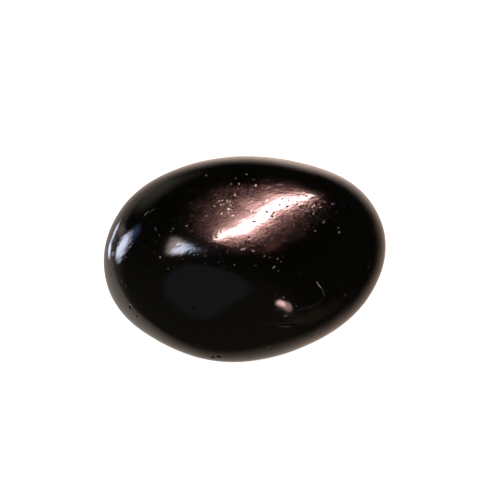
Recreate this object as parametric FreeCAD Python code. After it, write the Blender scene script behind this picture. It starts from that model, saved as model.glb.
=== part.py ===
"""Basalt massage stone: one palm-sized pebble of polished basalt, in one solid piece.

The form is an ellipsoidal blank that tumbling has worn flatter in places. Each worn flat is a
plane that cuts the blank or leans on it, and flats and blank melt into each other with no edge.
The belly ends in one small true flat, on which the stone rests.

Frame, in millimetres: +X along the stone's length, +Y across it, +Z up. The origin is on the
resting flat, below the middle of the stone's box.
"""
import FreeCAD, Part
import math
import os

# The blank, before wear: half of its length, width and thickness.
BLANK_HALF_LENGTH = 43.6
BLANK_HALF_WIDTH = 29.7
BLANK_HALF_THICKNESS = 21.5

# How crisply the flats meet: 2 would be a plain blend, 30 would leave visible edges.
CRISPNESS = 12

# Each worn flat: the way it faces, as degrees round from +X and degrees above the horizontal,
# and how far out it lies, as a share of the blank's own reach that way. One that lies further
# out than the blank only makes it a little less round.
WORN_FLATS = {
    "crown_right": (-15, 75, 0.96),
    "crown_back": (105, 75, 0.90),
    "crown_back_right": (55, 75, 0.96),
    "crown_left": (170, 60, 0.87),
    "front_left_slope": (235, 60, 0.82),
    "front_slope": (270, 45, 0.88),
    "front_right_slope": (325, 45, 0.76),
    "right_end": (10, 35, 0.96),
    "left_end": (195, 25, 0.86),
    "left_front_side": (230, 20, 0.90),
    "front_side": (290, 0, 1.03),
    "right_front_side": (325, 0, 1.15),
    "back_side": (70, 25, 1.06),
    "left_back_side": (160, 30, 0.92),
    "belly": (0, -90, 0.83),
    "belly_back": (70, -55, 1.00),
    "belly_front": (245, -50, 0.93),
}

# How much of the belly the resting flat takes off.
RESTING_FLAT_DEPTH = 0.15

# Points along each side of the six patches that make up the surface.
PATCH_POINTS = 33

# Gap that still counts as closed when the patches are sewn together.
SEWING_GAP = 0.001


def facing(around, above):
    """Unit vector that points the given degrees round from +X and above the horizontal."""
    around, above = math.radians(around), math.radians(above)
    return FreeCAD.Vector(
        math.cos(above) * math.cos(around),
        math.cos(above) * math.sin(around),
        math.sin(above),
    )


def blank_reach(normal):
    """How far the blank reaches that way from its middle, to the plane that just touches it."""
    return math.hypot(
        normal.x * BLANK_HALF_LENGTH, normal.y * BLANK_HALF_WIDTH, normal.z * BLANK_HALF_THICKNESS
    )


def worn_planes():
    """Each worn flat as its normal and its distance from the stone's middle."""
    normals = [(facing(around, above), share) for around, above, share in WORN_FLATS.values()]
    return [(normal, share * blank_reach(normal)) for normal, share in normals]


PLANES = worn_planes()


def surface_point(direction):
    """The point of the stone's surface in this direction from its middle."""
    blank = math.hypot(
        direction.x / BLANK_HALF_LENGTH,
        direction.y / BLANK_HALF_WIDTH,
        direction.z / BLANK_HALF_THICKNESS,
    )
    total = blank**CRISPNESS
    for normal, distance in PLANES:
        total += max(0.0, normal.dot(direction) / distance) ** CRISPNESS
    return direction * total ** (-1 / CRISPNESS)


def smooth_curve(points):
    """The smooth curve through evenly counted points, so that curves along one border agree."""
    curve = Part.BSplineCurve()
    curve.interpolate(Points=points, Parameters=[i / (PATCH_POINTS - 1) for i in range(PATCH_POINTS)])
    return curve


def patch(out, across, along):
    """One sixth of the surface: the part seen through one side of a cube round the middle."""
    angles = [math.radians(-45 + 90 * i / (PATCH_POINTS - 1)) for i in range(PATCH_POINTS)]
    row_curves = []
    for b in angles:
        through = [out + across * math.tan(a) + along * math.tan(b) for a in angles]
        row_curves.append(smooth_curve([surface_point(direction.normalize()) for direction in through]))
    column_curves = [smooth_curve(list(poles)) for poles in zip(*(row.getPoles() for row in row_curves))]
    knots, multiplicities = row_curves[0].getKnots(), row_curves[0].getMultiplicities()
    surface = Part.BSplineSurface()
    surface.buildFromPolesMultsKnots(
        [column.getPoles() for column in column_curves],
        multiplicities,
        multiplicities,
        knots,
        knots,
        False,
        False,
        3,
        3,
    )
    return surface.toShape()


def pebble():
    """The worn stone as one closed solid, before it gets its resting flat."""
    x, y, z = FreeCAD.Vector(1, 0, 0), FreeCAD.Vector(0, 1, 0), FreeCAD.Vector(0, 0, 1)
    sides = [(x, y, z), (-x, z, y), (y, z, x), (-y, x, z), (z, x, y), (-z, y, x)]
    shell = Part.makeShell([patch(*side) for side in sides])
    shell.sewShape(SEWING_GAP)
    return Part.makeSolid(shell)


def stood_over_origin(stone):
    """The stone moved so that its box is centred on the Z axis and its belly dips just below Z 0."""
    box = stone.optimalBoundingBox(False, False)
    return stone.translated(
        FreeCAD.Vector(-box.Center.x, -box.Center.y, -box.ZMin - RESTING_FLAT_DEPTH)
    )


def with_resting_flat(stone):
    """The stone with the dip of its belly cut off at Z 0."""
    below = Part.makeBox(
        2 * BLANK_HALF_LENGTH,
        2 * BLANK_HALF_WIDTH,
        BLANK_HALF_THICKNESS,
        FreeCAD.Vector(-BLANK_HALF_LENGTH, -BLANK_HALF_WIDTH, -BLANK_HALF_THICKNESS),
    )
    return stone.cut(below).Solids[0]


def main():
    stone = with_resting_flat(stood_over_origin(pebble()))
    os.makedirs("parts", exist_ok=True)
    stone.exportStep("parts/massage_stone.step")
    box = stone.optimalBoundingBox(False, False)
    flat = min(stone.Faces, key=lambda face: face.CenterOfMass.z)
    print("valid", stone.isValid(), "faces", len(stone.Faces))
    print("size %.2f x %.2f x %.2f mm" % (box.XLength, box.YLength, box.ZMax))
    print("resting flat %.1f x %.1f mm" % (flat.BoundBox.XLength, flat.BoundBox.YLength))
    print("volume %.1f cm3" % (stone.Volume / 1000))


main()
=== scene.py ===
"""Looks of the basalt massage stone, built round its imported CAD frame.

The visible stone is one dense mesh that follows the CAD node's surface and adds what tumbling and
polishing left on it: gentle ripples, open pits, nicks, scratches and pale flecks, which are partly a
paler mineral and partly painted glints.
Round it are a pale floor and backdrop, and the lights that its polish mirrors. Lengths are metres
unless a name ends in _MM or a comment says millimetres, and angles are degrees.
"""

import math

import bmesh
import bpy
import numpy as np
from mathutils import Matrix, Vector
from mathutils.kdtree import KDTree

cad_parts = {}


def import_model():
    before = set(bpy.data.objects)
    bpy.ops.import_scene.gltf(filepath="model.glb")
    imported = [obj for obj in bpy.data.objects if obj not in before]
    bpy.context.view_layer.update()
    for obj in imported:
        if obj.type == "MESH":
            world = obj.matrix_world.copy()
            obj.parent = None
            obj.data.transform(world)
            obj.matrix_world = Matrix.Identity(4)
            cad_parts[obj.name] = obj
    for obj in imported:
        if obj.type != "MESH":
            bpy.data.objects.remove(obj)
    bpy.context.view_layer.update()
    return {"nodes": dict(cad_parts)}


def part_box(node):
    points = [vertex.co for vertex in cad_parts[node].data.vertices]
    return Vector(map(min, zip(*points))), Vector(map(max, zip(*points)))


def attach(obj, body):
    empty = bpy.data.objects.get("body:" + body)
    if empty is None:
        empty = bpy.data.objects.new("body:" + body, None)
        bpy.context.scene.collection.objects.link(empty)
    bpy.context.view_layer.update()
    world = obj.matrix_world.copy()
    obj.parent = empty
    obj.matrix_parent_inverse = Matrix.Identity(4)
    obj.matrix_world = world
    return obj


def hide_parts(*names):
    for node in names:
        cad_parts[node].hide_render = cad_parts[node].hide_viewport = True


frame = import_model()

MM = 0.001
NODE = "massage_stone"
BODY = "root"
LOW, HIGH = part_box(NODE)
MIDDLE = np.array((LOW + HIGH) / 2)
HALF = np.array((HIGH - LOW) / 2)

# The camera looks this far anticlockwise of +Y and from this far above the horizontal; its lens.
CAMERA_AZIMUTH = -6.5
CAMERA_ELEVATION = 80
CAMERA_LENS_MM = 200
SENSOR_MM = 36
# The picture's width at the stone, and where the stone's middle lies in it, from the picture's
# middle, as a share of its width.
VIEW_WIDTH = 1.75 * (HIGH.x - LOW.x)
SHIFT_RIGHT = -0.009
SHIFT_DOWN = 0.014

# The seed of the ripples and the clustered pits, and the seed of the strewn pits, which is one
# that leaves the mirrored lights nearly clear of them.
SEED = 11
STREWN_SEED = 242


# ---------------------------------------------------------------- helpers


def unit(vectors):
    """The vectors at length one."""
    return vectors / np.linalg.norm(vectors, axis=1, keepdims=True)


def random_directions(rng, count):
    """Directions spread evenly at random over the whole sphere."""
    return unit(rng.normal(size=(count, 3)))


def tree_of(points):
    """The points in a tree that finds the ones near a place."""
    tree = KDTree(len(points))
    for index, point in enumerate(points):
        tree.insert(point, index)
    tree.balance()
    return tree


def move_vertices(bm, places):
    """Put each vertex at its place."""
    for vertex, place in zip(bm.verts, places):
        vertex.co = place


def mesh_object(name, bm, material):
    """A new object in the scene, of this shape and material."""
    mesh = bpy.data.meshes.new(name)
    bm.to_mesh(mesh)
    bm.free()
    mesh.materials.append(material)
    piece = bpy.data.objects.new(name, mesh)
    bpy.context.scene.collection.objects.link(piece)
    return piece


# ---------------------------------------------------------------- the stone's form

# The CAD node's surface points are thinned to about one in each cube of this size, and those
# within the margin above the resting flat are left out.
FORM_POINT_SPACING = 2.8 * MM
FLAT_MARGIN = 0.02 * MM
# How many directions are worked out at once, which only limits the memory used.
DIRECTIONS_AT_ONCE = 8000


def cubed_distance(a, b):
    """The cube of the distance from each unit direction in a to each in b."""
    squared = np.maximum(2 - 2 * a @ b.T, 0)
    return squared * np.sqrt(squared)


def smooth_form(node):
    """A function that gives the stone's radius in any direction, smooth through the CAD node's
    own surface points. The points of the resting flat are left out: it is cut later."""
    points = np.array([v.co for v in node.data.vertices]) - MIDDLE
    points = points[points[:, 2] > LOW.z - MIDDLE[2] + FLAT_MARGIN]
    cells = np.round(points / FORM_POINT_SPACING).astype(int)
    _, chosen = np.unique(cells, axis=0, return_index=True)
    centres, radii = unit(points[chosen]), np.linalg.norm(points[chosen], axis=1)
    count = len(centres)
    system = np.zeros((count + 4, count + 4))
    system[:count, :count] = cubed_distance(centres, centres)
    system[:count, count] = system[count, :count] = 1
    system[:count, count + 1 :] = centres
    system[count + 1 :, :count] = centres.T
    weights = np.linalg.solve(system, np.concatenate([radii, np.zeros(4)]))

    def radius(directions):
        found = []
        for part in np.array_split(directions, max(1, len(directions) // DIRECTIONS_AT_ONCE)):
            found.append(
                cubed_distance(part, centres) @ weights[:count]
                + weights[count]
                + part @ weights[count + 1 :]
            )
        return np.concatenate(found)

    return radius


form = smooth_form(frame["nodes"][NODE])


def on_stone(directions):
    """Points of the smooth stone in these directions from its middle."""
    directions = unit(np.asarray(directions, float))
    return MIDDLE + directions * form(directions)[:, None]


def crown_direction(along, across):
    """The direction of the point of the upper side at these shares of half the length and width."""
    flat = np.array([along * HALF[0], across * HALF[1], 0])
    rise = HALF[2] * math.sqrt(max(0.0, 1 - along**2 - across**2))
    return flat + [0, 0, rise]


# ---------------------------------------------------------------- ripples, pits and flecks

# Gentle ripples: how many waves are summed, their lengths and the height of each.
RIPPLE_WAVES = 14
RIPPLE_LENGTHS = (5 * MM, 13 * MM)
RIPPLE_HEIGHT = 0.004 * MM
# They die out this far above the resting flat.
RIPPLES_START = 1.0 * MM

# Pits that stand out, as shares of half the length and width from the stone's middle, then width,
# length and depth in millimetres, and which way they run, in degrees.
NOTABLE_PITS = [
    # in the crown's highlight
    (0.08, 0.24, 0.36, 1.60, 0.14, 10),
    (0.18, 0.33, 0.44, 0.80, 0.16, 150),
    (0.23, 0.30, 0.36, 0.40, 0.12, 20),
    (0.30, 0.45, 0.32, 0.55, 0.12, 90),
    (0.33, 0.36, 0.38, 0.80, 0.12, 170),
    (0.41, 0.45, 0.30, 0.40, 0.10, 0),
    (0.47, 0.44, 0.28, 0.40, 0.10, 0),
    (0.12, 0.15, 0.26, 0.40, 0.10, 40),
    (0.16, 0.43, 0.28, 0.50, 0.10, 20),
    (-0.20, 0.12, 0.30, 0.45, 0.10, 0),
    # along the rim of the belly
    (-0.91, -0.40, 0.80, 1.20, 0.50, 60),
    (-0.86, -0.50, 0.70, 1.00, 0.45, 50),
    (-0.31, -0.95, 0.90, 1.50, 0.60, 0),
    (-0.27, -0.96, 0.80, 1.70, 0.60, 0),
    (-0.98, 0.17, 0.70, 0.80, 0.45, 90),
    (0.10, -0.98, 0.60, 1.00, 0.40, 0),
    (0.42, -0.90, 0.50, 0.70, 0.30, 20),
    # in the small glint at the front
    (0.30, -0.58, 0.24, 0.30, 0.10, 0),
    (0.23, -0.55, 0.24, 0.45, 0.10, 0),
    # nicks on the right of the crown, brightened by the pale flecks at the same places, which paint
    # their glints
    (0.74, 0.09, 0.42, 0.60, 0.15, 80),
    (0.72, 0.12, 0.26, 0.35, 0.10, 0),
    (0.58, 0.18, 0.22, 0.80, 0.10, 70),
    (0.52, 0.10, 0.26, 0.60, 0.10, 30),
    (0.43, 0.07, 0.24, 0.40, 0.09, 0),
    (0.51, 0.27, 0.26, 0.35, 0.10, 0),
    (0.51, 0.35, 0.26, 0.45, 0.10, 60),
    # behind the highlight
    (0.10, 0.61, 0.26, 0.50, 0.10, 30),
    (0.22, 0.64, 0.24, 0.60, 0.10, 160),
    (0.30, 0.58, 0.26, 0.30, 0.10, 0),
    (0.07, 0.73, 0.24, 0.30, 0.10, 0),
    # left shoulder and front
    (-0.40, 0.28, 0.26, 0.30, 0.10, 0),
    (-0.50, 0.27, 0.26, 0.30, 0.10, 0),
    (-0.30, -0.12, 0.24, 0.35, 0.09, 0),
    (-0.09, -0.17, 0.24, 0.30, 0.09, 0),
]

FLECK_DEPTH_MM = 0.02
# Pale flecks, partly a paler mineral and partly painted glints, in the same shares, width and length in
# millimetres, turn and how pale they are.
FLECKS = [
    (0.18, -0.23, 0.34, 0.80, 45, 1.0),
    (0.17, -0.24, 0.30, 0.70, 20, 0.7),
    (0.21, -0.16, 0.45, 0.50, 0, 0.8),
    (0.23, -0.19, 0.30, 0.35, 0, 0.4),
    (0.12, -0.12, 0.26, 0.80, 40, 0.5),
    (0.39, -0.32, 0.30, 0.30, 0, 0.25),
    (0.74, 0.08, 0.50, 0.80, 80, 0.7),
    (0.72, 0.12, 0.40, 0.45, 0, 0.4),
    (0.59, 0.18, 0.26, 1.10, 70, 0.5),
    (0.52, 0.09, 0.28, 0.80, 30, 0.5),
    (-0.09, -0.17, 0.26, 0.60, 0, 0.3),
    (-0.02, -0.03, 0.24, 1.60, 0, 0.2),
    (-0.20, -0.13, 0.26, 0.60, 0, 0.25),
    (0.05, -0.20, 0.26, 0.90, 10, 0.2),
    (-0.40, 0.28, 0.26, 0.35, 0, 0.35),
    (-0.50, 0.27, 0.30, 0.40, 0, 0.3),
    (0.34, -0.66, 0.30, 0.40, 80, 0.3),
]

# A long fine arc on the right of the front.
FINE_ARC = [(0.60, -0.65), (0.56, -0.67), (0.52, -0.69), (0.47, -0.70), (0.42, -0.70), (0.36, -0.70)]
# Scratches as rows of points in the same shares, with width and depth in millimetres, and how
# pale they are, both as bruised stone and as glints painted into them.
SCRATCHES = [
    ([(0.56, -0.46), (0.58, -0.50), (0.60, -0.53)], 0.26, 0.05, 0.9),
    ([(0.61, -0.54), (0.62, -0.57), (0.62, -0.61)], 0.24, 0.03, 0.2),
    (FINE_ARC, 0.36, 0.01, 0.04),
    ([(-0.69, 0.47), (-0.66, 0.49)], 0.28, 0.05, 0.5),
    ([(-0.65, 0.49), (-0.61, 0.50)], 0.26, 0.03, 0.15),
    ([(0.20, -0.83), (0.26, -0.85)], 0.24, 0.02, 0.12),
    ([(0.18, -0.79), (0.28, -0.82)], 0.24, 0.01, 0.04),
    ([(-0.99, 0.02), (-0.97, 0.11), (-0.93, 0.17)], 0.20, 0.03, 0.0),
]
# Each of a scratch's pits is this much longer than its run, so that they overlap.
SCRATCH_OVERLAP = 1.9

# Clusters of pits: the same shares of the middle, the spread in those shares, how many, their
# widths in millimetres, depth as a share of the width, and how pale the palest may be, a paleness that
# is partly paler mineral and partly painted glints.
CLUSTERS = [
    (-0.13, 0.41, 0.065, 16, (0.20, 0.34), 0.12, 0.8),
    (0.60, 0.28, 0.07, 12, (0.22, 0.30), 0.15, 0.15),
    (0.22, -0.12, 0.09, 10, (0.20, 0.26), 0.25, 0.0),
    (0.37, 0.40, 0.06, 10, (0.24, 0.36), 0.25, 0.0),
]
# Each pit of a cluster is pale by a random share of that, between these two.
CLUSTER_PALENESS = (0.2, 1)

# Pits strewn over the whole stone: how many, their widths in millimetres, their depth as a share
# of the width, and how much longer than wide they may be.
STREWN_COUNT = 520
STREWN_WIDTHS_MM = (0.22, 0.60)
STREWN_STEEPNESS = (0.12, 0.3)
STREWN_ELONGATION = 3.0

# A pit's floor is a paraboloid raised to this power, so it meets the surface without an edge. Its
# pale part is whole in the middle and fades to nothing at the rim, this many times as fast.
BOWL_POWER = 1.5
PALE_FADE = 1.5
# Vertices are looked for this far round a pit, as a share of its length.
PIT_REACH = 0.6


def ripples(places):
    """How far the ripples sink each place, never less than nothing."""
    rng = np.random.default_rng(SEED)
    ways = random_directions(rng, RIPPLE_WAVES)
    lengths = rng.uniform(*RIPPLE_LENGTHS, RIPPLE_WAVES)
    phases = rng.uniform(0, 2 * math.pi, RIPPLE_WAVES)
    waves = np.sin(2 * math.pi * (places @ ways.T) / lengths + phases)
    kept = np.clip((places[:, 2] - LOW.z) / RIPPLES_START, 0, 1)
    return RIPPLE_HEIGHT * (RIPPLE_WAVES + waves.sum(axis=1)) * kept


def pit(direction, width, length, depth, turn, pale=0.0):
    """One pit: where it is, its width, length and depth in millimetres, which way it runs, and how
    pale its floor is."""
    return dict(direction=direction, width=width, length=length, depth=depth, turn=turn, pale=pale)


def notable_pits():
    """The pits that stand out, each at its own place."""
    return [
        pit(crown_direction(along, across), width, length, depth, turn)
        for along, across, width, length, depth, turn in NOTABLE_PITS
    ]


def scratch_pits():
    """Each scratch as a row of long shallow pits that overlap."""
    pits = []
    for points, width, depth, pale in SCRATCHES:
        ends = on_stone([crown_direction(*point) for point in points])
        for start, end in zip(ends[:-1], ends[1:]):
            middle, run = (start + end) / 2, end - start
            length = SCRATCH_OVERLAP * np.linalg.norm(run) / MM
            turn = math.degrees(math.atan2(run[1], run[0]))
            pits.append(pit(middle - MIDDLE, width, length, depth, turn, pale))
    return pits


def fleck_pits():
    """The pale flecks, partly a paler mineral and partly painted glints, which polishing left very
    slightly low.
    """
    return [
        pit(crown_direction(along, across), width, length, FLECK_DEPTH_MM, turn, pale)
        for along, across, width, length, turn, pale in FLECKS
    ]


def clustered_pits(rng, along, across, spread, count, widths, steepness, pale):
    """A cluster of pits round one spot of the crown."""
    pits = []
    for _ in range(count):
        place = crown_direction(along + rng.normal(0, spread), across + rng.normal(0, spread))
        width = rng.uniform(*widths)
        length, turn = width * rng.uniform(1, 2), rng.uniform(0, 180)
        paleness = pale * rng.uniform(*CLUSTER_PALENESS)
        pits.append(pit(place, width, length, width * steepness, turn, paleness))
    return pits


def strewn_pits(rng):
    """Pits strewn over the stone, most of them small and round."""
    narrow, wide = STREWN_WIDTHS_MM
    pits = []
    for direction in random_directions(rng, STREWN_COUNT):
        width = narrow + (wide - narrow) * rng.random() ** 4
        length = width * (1 + (STREWN_ELONGATION - 1) * rng.random() ** 2)
        depth = width * rng.uniform(*STREWN_STEEPNESS)
        pits.append(pit(direction, width, length, depth, rng.uniform(0, 180)))
    return pits


def all_pits():
    """Every pit of the stone, those with a place of their own first."""
    rng = np.random.default_rng(SEED)
    pits = notable_pits() + scratch_pits() + fleck_pits()
    for cluster in CLUSTERS:
        pits += clustered_pits(rng, *cluster)
    return pits + strewn_pits(np.random.default_rng(STREWN_SEED))


def tangents(normal, turn):
    """Two directions in the surface, the first turned this far round the normal from the stone's
    length, or from its width where the surface nearly faces along its length."""
    first = np.array([1.0, 0.0, 0.0]) - normal * normal[0]
    if np.linalg.norm(first) < 0.2:
        first = np.array([0.0, 1.0, 0.0]) - normal * normal[1]
    first /= np.linalg.norm(first)
    second = np.cross(normal, first)
    c, s = math.cos(math.radians(turn)), math.sin(math.radians(turn))
    return c * first + s * second, c * second - s * first


# ---------------------------------------------------------------- the stone's mesh

# How often the icosphere is subdivided all over, and how many more times round the pits at most.
SUBDIVISIONS = 7
REFINING_ROUNDS = 3
# Round a pit, and this far beyond it, edges are wanted at this share of its width. An edge is cut
# in two where it is longer than that by the slack.
REFINED_MARGIN_MM = 0.1
PIT_EDGE_SHARE = 0.34
EDGE_SLACK = 1.4


def refined_sphere(spots):
    """A triangle mesh of the stone, made finer inside the spots, which are (centre, reach, edge
    length wanted)."""
    bm = bmesh.new()
    bmesh.ops.create_icosphere(bm, subdivisions=SUBDIVISIONS, radius=1)
    move_vertices(bm, on_stone(np.array([v.co for v in bm.verts])))
    for _ in range(REFINING_ROUNDS):
        bm.edges.ensure_lookup_table()
        tree = tree_of([(edge.verts[0].co + edge.verts[1].co) / 2 for edge in bm.edges])
        chosen = set()
        for centre, reach, wanted in spots:
            for _, index, _ in tree.find_range(centre, reach):
                if index not in chosen and bm.edges[index].calc_length() > EDGE_SLACK * wanted:
                    chosen.add(index)
        if not chosen:
            break
        edges = [bm.edges[index] for index in sorted(chosen)]
        bmesh.ops.subdivide_edges(bm, edges=edges, cuts=1, use_grid_fill=True, use_single_edge=True)
        bmesh.ops.triangulate(bm, faces=[face for face in bm.faces if len(face.verts) > 3])
    return bm


def sunk_and_pale(pits, centres, places, normals, tree):
    """How far the pits sink each place, and how pale they leave it."""
    sunk = np.zeros(len(places))
    pale = np.zeros(len(places))
    for p, centre in zip(pits, centres):
        _, nearest, _ = tree.find(centre)
        first, second = tangents(normals[nearest], p["turn"])
        reach = PIT_REACH * p["length"] * MM
        near = np.array([index for _, index, _ in tree.find_range(centre, reach)], int)
        if not len(near):
            continue
        offset = (places[near] - centre) / MM
        out = np.hypot(offset @ first / (p["length"] / 2), offset @ second / (p["width"] / 2))
        bowl = p["depth"] * np.clip(1 - out**2, 0, 1) ** BOWL_POWER
        sunk[near] = np.maximum(sunk[near], bowl * MM)
        paleness = p["pale"] * np.clip(PALE_FADE - PALE_FADE * out**2, 0, 1)
        pale[near] = np.maximum(pale[near], paleness)
    return sunk, pale


def make_stone():
    """The visible stone. Its mesh attribute "pale" says where the stone is pale, partly with paler
    mineral and partly with painted glints.
    """
    pits = all_pits()
    centres = on_stone([p["direction"] for p in pits])
    spots = []
    for p, centre in zip(pits, centres):
        reach = (0.5 * p["length"] + REFINED_MARGIN_MM) * MM
        spots.append((Vector(centre), reach, PIT_EDGE_SHARE * p["width"] * MM))
    bm = refined_sphere(spots)
    places = on_stone(np.array([v.co for v in bm.verts]) - MIDDLE)
    move_vertices(bm, places)
    bm.normal_update()
    normals = np.array([v.normal for v in bm.verts])
    sunk, pale = sunk_and_pale(pits, centres, places, normals, tree_of([v.co for v in bm.verts]))
    places = places - normals * (sunk + ripples(places))[:, None]
    places[:, 2] = np.maximum(places[:, 2], LOW.z)
    move_vertices(bm, places)
    stone = mesh_object("polished_stone", bm, basalt())
    stone.data.shade_smooth()
    stone.data.attributes.new("pale", "FLOAT", "POINT").data.foreach_set("value", pale)
    print("stone triangles", len(stone.data.polygons))
    return stone


# ---------------------------------------------------------------- material nodes


class Nodes:
    """A short way to write a material's node tree."""

    def __init__(self, material):
        material.use_nodes = True
        self.tree = material.node_tree
        self.tree.nodes.clear()

    def add(self, kind, settings=None, **inputs):
        """A new node with these settings, and with these inputs set or linked."""
        node = self.tree.nodes.new(kind)
        for name, value in (settings or {}).items():
            setattr(node, name, value)
        for name, value in inputs.items():
            self.put(node, name.replace("_", " "), value)
        return node

    def put(self, node, key, value):
        """Link or set the node's input of this name or number."""
        socket = node.inputs[key]
        if isinstance(value, bpy.types.NodeSocket):
            self.tree.links.new(value, socket)
        else:
            socket.default_value = value

    def math(self, operation, first, second=None):
        """One sum of numbers."""
        node = self.add("ShaderNodeMath", {"operation": operation})
        self.put(node, 0, first)
        if second is not None:
            self.put(node, 1, second)
        return node.outputs[0]

    def vector_math(self, operation, first, second=None, **inputs):
        """One sum of vectors, as its outputs "Vector" and "Value"."""
        node = self.add("ShaderNodeVectorMath", {"operation": operation}, **inputs)
        self.put(node, 0, first)
        if second is not None:
            self.put(node, 1, second)
        return node.outputs

    def mix(self, factor, first, second):
        """One colour mixed into another."""
        node = self.add("ShaderNodeMix", {"data_type": "RGBA"}, Factor=factor, A=first, B=second)
        return node.outputs["Result"]

    def noise(self, where, size_mm, detail=2.0, stretch=(1, 1, 1), rough=0.5, turn=0):
        """Noise whose blotches are about size_mm across, longer along the axes stretched, which
        are turned this many degrees round the vertical."""
        mapped = self.add(
            "ShaderNodeMapping",
            {"vector_type": "TEXTURE"},
            Vector=where,
            Rotation=(0, 0, math.radians(turn)),
            Scale=[size_mm * MM * s for s in stretch],
        )
        node = self.add(
            "ShaderNodeTexNoise", Vector=mapped.outputs[0], Scale=1.0, Detail=detail, Roughness=rough
        )
        return node.outputs["Fac"]

    def ramp(self, value, low, high, out_low=0.0, out_high=1.0):
        """The value eased from one range to another, and level beyond its ends."""
        node = self.add(
            "ShaderNodeMapRange",
            {"interpolation_type": "SMOOTHSTEP"},
            Value=value,
            From_Min=low,
            From_Max=high,
            To_Min=out_low,
            To_Max=out_high,
        )
        return node.outputs[0]

    def finish_as_paint(self, colour, glow):
        """End the tree as flat paint that is partly self-lit."""
        shader = self.add(
            "ShaderNodeBsdfPrincipled",
            Base_Color=colour,
            Roughness=0.9,
            Specular_IOR_Level=0.0,
            Emission_Color=colour,
            Emission_Strength=glow,
        )
        output = self.add("ShaderNodeOutputMaterial")
        self.tree.links.new(shader.outputs[0], output.inputs[0])

    def finish_as_light(self, colour, strength):
        """End the tree as clear glowing air, which adds its light to what lies behind it."""
        light = self.add("ShaderNodeEmission", Color=colour, Strength=strength)
        both = self.add("ShaderNodeAddShader")
        self.tree.links.new(light.outputs[0], both.inputs[0])
        self.tree.links.new(self.add("ShaderNodeBsdfTransparent").outputs[0], both.inputs[1])
        output = self.add("ShaderNodeOutputMaterial")
        self.tree.links.new(both.outputs[0], output.inputs[0])


# ---------------------------------------------------------------- basalt

# Ovals on the upper side, each as its middle and its reach in shares of half the length and
# width: where the polish is worn to a satin grain, and where it is only scuffed, with how deep
# the scuffs are in millimetres.
WORN_OVAL = ((0.11, 0.285), (0.53, 0.40))
SCUFFED_OVALS = [
    ((-0.49, -0.01), (0.24, 0.09), 0.028),
    ((-0.90, 0.20), (0.14, 0.34), 0.08),
    ((0.10, 0.66), (0.45, 0.09), 0.05),
]

# Heights of the relief that is too fine for the mesh, and how much of it shows in the oil's film.
GRAIN_HEIGHT_MM = 0.026
HAIRLINE_HEIGHT_MM = 0.02
FINEST_PIT_DEPTH_MM = 0.03
FILM_SHARE = 0.45
# The finest pits lie about this far apart, and the widest reaches this far, in that spacing.
FINEST_PIT_SPACING_MM = 1.1
FINEST_PIT_REACH = 0.28

DARK_BASALT = (0.0012, 0.0011, 0.0008, 1)
GREY_BASALT = (0.0030, 0.0026, 0.0020, 1)
# The colour of the pale spots: a paler mineral, and painted glints on nicks, scratches and pits.
PALE_MINERAL_AND_GLINT = (0.62, 0.60, 0.56, 1)
# The stone's roughness under a whole polish, and how much a worn one adds.
POLISHED_ROUGHNESS = 0.10
WORN_ROUGHNESS = 0.14


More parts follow.
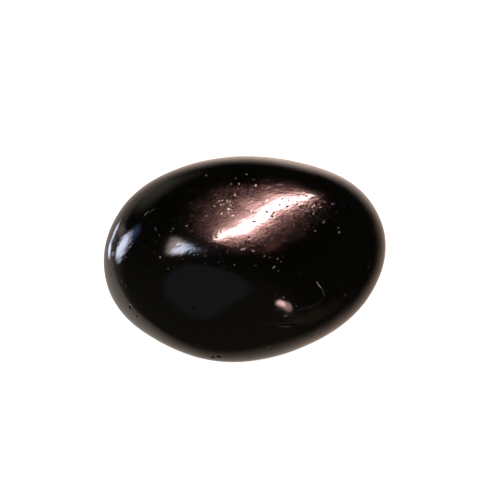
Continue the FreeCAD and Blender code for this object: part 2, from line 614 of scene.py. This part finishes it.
def basalt():
    """Black basalt under a wet polish. The stone itself reflects softly, the film of oil over it
    sharply, and where the polish is worn a fine grain breaks both up."""
    material = bpy.data.materials.new("polished_basalt")
    n = Nodes(material)
    where = n.add("ShaderNodeTexCoord").outputs["Object"]
    worn = oval_mask(n, where, *WORN_OVAL, ragged=0.5, softness=0.45)
    scuffed = 0.0
    for middle, reach, depth in SCUFFED_OVALS:
        mask = oval_mask(n, where, middle, reach, ragged=0.6, softness=0.5)
        scuffed = n.math("MAXIMUM", scuffed, n.math("MULTIPLY", mask, depth))
    speckle = n.noise(where, 0.9, 3.0)
    grain = n.noise(where, 0.85, 3.0, rough=0.48)
    mottle = n.noise(where, 2.6, 3.0)
    hairlines = n.noise(where, 0.75, 2.0, stretch=(7, 1, 2), turn=22)
    crossing = n.noise(where, 0.75, 2.0, stretch=(6, 1, 2), turn=-14)
    scrapes = n.noise(where, 0.8, 3.0, stretch=(3, 1, 2), turn=30)
    rightward = n.ramp(n.add("ShaderNodeSeparateXYZ", Vector=where).outputs["X"], 0, 0.6 * HALF[0])
    outward = n.ramp(oval_distance(n, where, *WORN_OVAL), 0.25, 1.0, 0.5, 0.9)
    coarseness = n.math("ADD", outward, rightward)
    lines = n.math("MULTIPLY", n.math("ADD", hairlines, crossing), HAIRLINE_HEIGHT_MM)
    relief = n.math("ADD", n.math("MULTIPLY", grain, GRAIN_HEIGHT_MM), lines)
    relief = n.math("MULTIPLY", n.math("MULTIPLY", relief, worn), coarseness)
    pitted = n.math("MULTIPLY", fine_pits(n, where), FINEST_PIT_DEPTH_MM)
    relief = n.math("SUBTRACT", relief, pitted)
    scuffs = n.math("MULTIPLY", scrapes, scuffed)
    film = n.math("ADD", n.math("MULTIPLY", relief, FILM_SHARE), scuffs)
    base_bump = n.add("ShaderNodeBump", Strength=1.0, Distance=MM, Height=n.math("ADD", relief, scuffs))
    coat_bump = n.add("ShaderNodeBump", Strength=1.0, Distance=MM, Height=film)
    tone = n.mix(n.ramp(grain, 0.35, 0.7), DARK_BASALT, GREY_BASALT)
    # Where the stone is pale: paler mineral, and painted glints.
    pale = n.add("ShaderNodeAttribute", {"attribute_name": "pale"}).outputs["Fac"]
    satin = n.math("MULTIPLY", worn, n.ramp(mottle, 0.30, 0.70, 0.85, 1.0))
    satin = n.math("MULTIPLY", satin, n.ramp(speckle, 0.30, 0.60, 0.75, 1.0))
    satin = n.math("MULTIPLY", satin, n.math("ADD", 1.0, n.math("MULTIPLY", rightward, 0.4)))
    shader = n.add(
        "ShaderNodeBsdfPrincipled",
        Base_Color=n.mix(pale, tone, PALE_MINERAL_AND_GLINT),
        Roughness=n.math("ADD", POLISHED_ROUGHNESS, n.math("MULTIPLY", satin, WORN_ROUGHNESS)),
        Normal=base_bump.outputs[0],
        Specular_Tint=(1.0, 0.70, 0.64, 1),
        Coat_Weight=1.0,
        Coat_Roughness=0.07,
        Coat_IOR=1.5,
        Coat_Normal=coat_bump.outputs[0],
    )
    output = n.add("ShaderNodeOutputMaterial")
    n.tree.links.new(shader.outputs[0], output.inputs[0])
    return material


def oval_distance(n, where, middle, reach):
    """How far out in an oval each place lies: nought in its middle and one on its rim."""
    scale = [1 / (share * half) for share, half in zip(reach, HALF)]
    moved = [-m / r for m, r in zip(middle, reach)]
    spread = n.add("ShaderNodeMapping", Vector=where, Location=(*moved, 0), Scale=(*scale, 0))
    return n.vector_math("LENGTH", spread.outputs[0])["Value"]


def oval_mask(n, where, middle, reach, ragged, softness):
    """One inside an oval on the upper side and nought outside it, with a ragged soft edge."""
    blotches = n.noise(where, 3.5, 5.0, stretch=(2, 1, 1))
    away = n.math("ADD", oval_distance(n, where, middle, reach), n.math("MULTIPLY", blotches, ragged))
    height = n.add("ShaderNodeSeparateXYZ", Vector=where).outputs["Z"]
    on_top = n.ramp(height, MIDDLE[2], MIDDLE[2] + 0.3 * HALF[2])
    return n.math("MULTIPLY", n.ramp(away, 1.0, 1.0 + softness, 1.0, 0.0), on_top)


def fine_pits(n, where):
    """One in the middle of the finest pits, too small for the mesh, and nought between them."""
    scale = 1 / (FINEST_PIT_SPACING_MM * MM)
    cells = n.add("ShaderNodeTexVoronoi", Vector=where, Scale=scale)
    parts = n.add("ShaderNodeSeparateColor", Color=cells.outputs["Color"])
    reach = n.math("MULTIPLY", n.math("POWER", parts.outputs[0], 4.0), FINEST_PIT_REACH)
    away = n.math("DIVIDE", cells.outputs["Distance"], n.math("ADD", reach, 0.001))
    return n.math("MAXIMUM", n.math("SUBTRACT", 1.0, away), 0.0)


# ---------------------------------------------------------------- light

# Each light that the polish mirrors: degrees round from the camera's forward way towards its
# right, degrees above the horizontal, half width and half height in degrees, turn in degrees,
# brightness, colour, and the share of its half width over which it fades.
PINK_WHITE = (1.0, 0.72, 0.70)
WINDOW_BLUE = (0.68, 0.78, 1.0)
MIRRORED_LIGHTS = {
    "strip": (10.0, 51.0, 2.7, 26.0, 51, 58.0, PINK_WHITE, 0.4),
    "strip_glow": (11.0, 50.0, 7.5, 25.0, 51, 8.0, PINK_WHITE, 1.0),
    "window": (-78.2, 53.2, 12.5, 7.2, 48, 8.5, (0.55, 0.72, 1.0), 0.6),
    "window_side": (-77.3, 49.2, 12.5, 9.5, 10, 3.2, (1.0, 0.93, 0.88), 0.55),
    "lamp": (152.2, 22.8, 8.0, 3.8, 5, 10.0, PINK_WHITE, 0.8),
    "lamp_tail": (145.9, 19.6, 8.4, 4.2, 10, 2.8, PINK_WHITE, 0.5),
    "screen": (-147.0, 45.5, 22.5, 17.6, 26, 0.085, (0.55, 0.64, 1.0), 0.3),
    "ember": (40.0, 67.0, 8.0, 5.5, 0, 0.8, (1.0, 0.32, 0.25), 0.9),
    "wall": (-38, 0.0, 28.0, 24.0, 0, 0.20, (0.95, 1.0, 0.80), 0.8),
    "side_wall": (131, 4.0, 25.0, 7.5, 20, 0.055, (1.0, 0.80, 0.48), 0.5),
}
# How square a light is: 2 is an oval, and more is squarer. The rest are ovals.
OVAL = 2.0
SQUARENESS = {"screen": 2.3}
LIGHT_DISTANCE = 2.0

# The same for the lights low beside the left end, on an upright plane this far out from the
# stone's middle: millimetres sideways and up, half width and half height in millimetres, turn in
# degrees, brightness, colour and fade.
END_AZIMUTH = -78
END_DISTANCE = 0.62 * (HIGH.x - LOW.x)
END_LIGHTS = {
    "end_window": (-4.9, 21.6, 10.4, 3.8, 46, 8.5, WINDOW_BLUE, 0.6),
    "end_window_halo": (1.0, 29.5, 6.5, 4.0, 45, 0.8, (0.22, 0.46, 1.0), 0.9),
    "end_window_foot": (-5.0, 9.3, 5.5, 2.2, 10, 4.5, WINDOW_BLUE, 0.7),
    "end_window_step": (2.0, 12.0, 6.0, 2.4, 15, 3.5, WINDOW_BLUE, 0.7),
    "end_wall": (2.0, 18.5, 3.5, 4.5, 0, 0.5, (1.0, 0.75, 0.7), 0.7),
}

OVERHEAD_WIDTH = 1.2
OVERHEAD_HEIGHT = 1.5
OVERHEAD_WATTS = 7.0

# The dim room's strength on the far side and on the near one, and its colour.
ROOM_STRENGTHS = (0.012, 0.045)
ROOM_COLOUR = (0.95, 1.0, 0.74, 1)


def way(azimuth, elevation):
    """Unit vector for degrees round from the camera's forward way and above the horizontal."""
    a, e = math.radians(azimuth - CAMERA_AZIMUTH), math.radians(elevation)
    return Vector((math.sin(a) * math.cos(e), math.cos(a) * math.cos(e), math.sin(e)))


def facing(place, aim, turn):
    """The matrix that puts something at place with its back to aim, turned round that line."""
    towards = (place - aim).normalized()
    level = Vector((towards.y, -towards.x, 0)).normalized()
    turn = math.radians(turn)
    x_axis = math.cos(turn) * level + math.sin(turn) * level.cross(towards)
    axes = Matrix((x_axis, towards.cross(x_axis), towards)).transposed()
    return Matrix.Translation(place) @ axes.to_4x4()


def glow(name, brightness, colour, fade):
    """Clear all over but for light that fades out towards the rim of a panel two units wide."""
    material = bpy.data.materials.new(name)
    n = Nodes(material)
    place = n.add("ShaderNodeSeparateXYZ", Vector=n.add("ShaderNodeTexCoord").outputs["Object"])
    power = SQUARENESS.get(name, OVAL)
    across, up = (n.math("POWER", n.math("ABSOLUTE", place.outputs[i]), power) for i in (0, 1))
    from_middle = n.math("POWER", n.math("ADD", across, up), 1 / power)
    strength = n.ramp(from_middle, 1 - fade, 1, brightness, 0)
    n.finish_as_light((*colour, 1), strength)
    return material


def light_panel(name, place, aim, half_width, half_height, turn, material):
    """A panel of light that only polished surfaces show, clear outside its oval or rounded shape."""
    bm = bmesh.new()
    bmesh.ops.create_grid(bm, x_segments=1, y_segments=1, size=1)
    panel = mesh_object(name, bm, material)
    panel.matrix_world = facing(place, aim, turn) @ Matrix.Diagonal((half_width, half_height, 1, 1))
    panel.visible_camera = False
    panel.visible_diffuse = False
    panel.visible_shadow = False


def mirrored_lights():
    """The far lights, each square on to the stone's middle."""
    middle = Vector(MIDDLE)
    for name, values in MIRRORED_LIGHTS.items():
        azimuth, elevation, half_width, half_height, turn, brightness, colour, fade = values
        light_panel(
            name,
            middle + LIGHT_DISTANCE * way(azimuth, elevation),
            middle,
            LIGHT_DISTANCE * math.tan(math.radians(half_width)),
            LIGHT_DISTANCE * math.tan(math.radians(half_height)),
            turn,
            glow(name, brightness, colour, fade),
        )


def end_lights():
    """The lights beside the left end."""
    outwards = way(END_AZIMUTH, 0)
    sideways = Vector((outwards.y, -outwards.x, 0))
    for name, values in END_LIGHTS.items():
        aside, up, half_width, half_height, turn, brightness, colour, fade = values
        place = END_DISTANCE * outwards + aside * MM * sideways + Vector((0, 0, LOW.z + up * MM))
        glowing = glow(name, brightness, colour, fade)
        light_panel(name, place, place - outwards, half_width * MM, half_height * MM, turn, glowing)


def overhead_light():
    """The broad soft light that whitens the floor, too wide and plain to leave a glint."""
    data = bpy.data.lights.new("overhead", "AREA")
    data.shape = "DISK"
    data.size = OVERHEAD_WIDTH
    data.energy = OVERHEAD_WATTS
    light = bpy.data.objects.new("overhead", data)
    light.location = (0, 0, OVERHEAD_HEIGHT)
    light.visible_camera = False
    light.visible_glossy = False
    bpy.context.scene.collection.objects.link(light)


def world():
    """A dim room, a little paler on the camera's near side."""
    surroundings = bpy.data.worlds.new("dim_room")
    n = Nodes(surroundings)
    direction = n.add("ShaderNodeTexCoord").outputs["Generated"]
    nearness = n.vector_math("DOT_PRODUCT", direction, -way(20, 0))["Value"]
    strength = n.ramp(nearness, -0.2, 0.9, *ROOM_STRENGTHS)
    room = n.add("ShaderNodeBackground", Color=ROOM_COLOUR, Strength=strength)
    output = n.add("ShaderNodeOutputWorld")
    n.tree.links.new(room.outputs[0], output.inputs[0])
    bpy.context.scene.world = surroundings


# ---------------------------------------------------------------- floor and backdrop

STAGE_RADIUS = 3.0
STAGE_PALE = (0.8, 0.8, 0.8, 1)
# How much of their own light the floor and backdrop have, and the floor close under the stone, where
# cutting its own light paints the stone's contact shadow.
STAGE_GLOW = 1.35
SHADED_GLOW = 0.35
# How near the stone has to be for the floor's painted shadow, and to darken the floor as the polish
# shows it.
FLOOR_SHADE_REACH = 20 * MM
MIRRORED_SHADE_REACH = 25 * MM
# The floor and the mirrored floor lie this far below the resting flat, so that none coincide.
FLOOR_DROP = 0.05 * MM
MIRRORED_FLOOR_DROP = 0.02 * MM
MIRRORED_FLOOR_RADIUS = 250 * MM

# The pools of light on the floor as the polish mirrors them: millimetres to the camera's right
# and away from it, radius in millimetres, brightness, colour, and whether they end at the edge of
# the pale sheet.
POOLS = {
    "behind": (12, 20, 47, 1.1, (1.0, 0.78, 0.68), False),
    "before": (4, -40, 70, 0.30, (1.0, 0.82, 0.66), True),
    "left": (-45, -22, 38, 0.22, (1.0, 0.97, 0.95), True),
    "right": (62, -8, 34, 0.22, (1.0, 0.68, 0.46), False),
    "back_left": (-75, 66, 60, 0.22, (1.0, 0.88, 0.76), False),
}
# Where the pale sheet under the stone ends on its left, and how bright the pools are beyond it.
SHEET_EDGE = 71 * MM
BEYOND_SHEET = 0.12


def pale_backdrop():
    """The backdrop's material, flat and part of it self-lit."""
    material = bpy.data.materials.new("pale_backdrop")
    Nodes(material).finish_as_paint(STAGE_PALE, STAGE_GLOW)
    return material


def pale_floor():
    """The same for the floor, with a painted contact shadow: its own light is dimmed close under the
    stone.
    """
    material = bpy.data.materials.new("pale_floor")
    n = Nodes(material)
    # The floor's own light, cut where the stone is near, paints its contact shadow.
    open_sky = n.add("ShaderNodeAmbientOcclusion", Distance=FLOOR_SHADE_REACH).outputs["AO"]
    n.finish_as_paint(STAGE_PALE, n.ramp(open_sky, 0.1, 0.6, SHADED_GLOW, STAGE_GLOW))
    return material


def near_floor():
    """The lit floor as the polish mirrors it: pools of light, darker where the stone shades them,
    some of which end at the sheet's edge."""
    material = bpy.data.materials.new("mirrored_floor")
    n = Nodes(material)
    place = n.add("ShaderNodeTexCoord").outputs["Object"]
    right, ahead = way(90, 0), way(0, 0)
    along = n.vector_math("DOT_PRODUCT", place, right)["Value"]
    on_sheet = n.ramp(along, -SHEET_EDGE - 3 * MM, -SHEET_EDGE + 2 * MM, BEYOND_SHEET, 1)
    total = n.add("ShaderNodeCombineXYZ").outputs[0]
    for x, y, radius, brightness, colour, ends_at_sheet in POOLS.values():
        offset = n.vector_math("SUBTRACT", place, (x * right + y * ahead) * MM)["Vector"]
        out = n.vector_math("LENGTH", offset)["Value"]
        squared = n.math("POWER", n.math("DIVIDE", out, radius * MM), 2.0)
        fall = n.math("EXPONENT", n.math("MULTIPLY", squared, -1.0))
        if ends_at_sheet:
            fall = n.math("MULTIPLY", fall, on_sheet)
        pool = n.vector_math("SCALE", [brightness * c for c in colour], Scale=fall)["Vector"]
        total = n.vector_math("ADD", total, pool)["Vector"]
    shade = n.add("ShaderNodeAmbientOcclusion", Distance=MIRRORED_SHADE_REACH).outputs["AO"]
    n.finish_as_light(total, shade)
    return material


def disc(name, radius, height, material):
    """A flat round piece of the stage."""
    bm = bmesh.new()
    bmesh.ops.create_circle(bm, cap_ends=True, segments=96, radius=radius)
    piece = mesh_object(name, bm, material)
    piece.location = (0, 0, height)
    return piece


def backdrop():
    """A pale dome over the floor, which only the camera sees, behind low views."""
    bm = bmesh.new()
    bmesh.ops.create_uvsphere(bm, u_segments=64, v_segments=32, radius=STAGE_RADIUS)
    dome = mesh_object("backdrop", bm, pale_backdrop())
    dome.visible_diffuse = False
    dome.visible_glossy = False
    dome.visible_shadow = False


def stage():
    """A pale floor, the backdrop, and the near part of the floor that the polish mirrors."""
    floor = disc("floor", STAGE_RADIUS, LOW.z - FLOOR_DROP, pale_floor())
    floor.visible_glossy = False
    backdrop()
    pool = disc("mirrored_floor", MIRRORED_FLOOR_RADIUS, LOW.z - MIRRORED_FLOOR_DROP, near_floor())
    pool.visible_camera = False
    pool.visible_diffuse = False
    pool.visible_shadow = False


# ---------------------------------------------------------------- camera and scene


def camera():
    """The camera, far off with a long lens and shifted so that the stone lies as in the photo."""
    data = bpy.data.cameras.new("camera")
    data.lens = CAMERA_LENS_MM
    data.sensor_width = SENSOR_MM
    data.shift_x = -SHIFT_RIGHT
    data.shift_y = SHIFT_DOWN
    data.clip_start = 0.01
    eye = bpy.data.objects.new("camera", data)
    distance = VIEW_WIDTH * CAMERA_LENS_MM / SENSOR_MM
    back = -way(0, 0) * math.cos(math.radians(CAMERA_ELEVATION))
    back.z = math.sin(math.radians(CAMERA_ELEVATION))
    eye.location = Vector(MIDDLE) + distance * back
    eye.rotation_euler = (math.radians(90 - CAMERA_ELEVATION), 0, math.radians(CAMERA_AZIMUTH))
    bpy.context.scene.collection.objects.link(eye)
    bpy.context.scene.camera = eye


def main():
    """The stone in the CAD node's place, and the stage, lights and camera round it."""
    stone = make_stone()
    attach(stone, BODY)
    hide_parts(NODE)
    stage()
    world()
    mirrored_lights()
    end_lights()
    overhead_light()
    camera()
    bpy.context.scene.view_settings.view_transform = "Standard"


main()
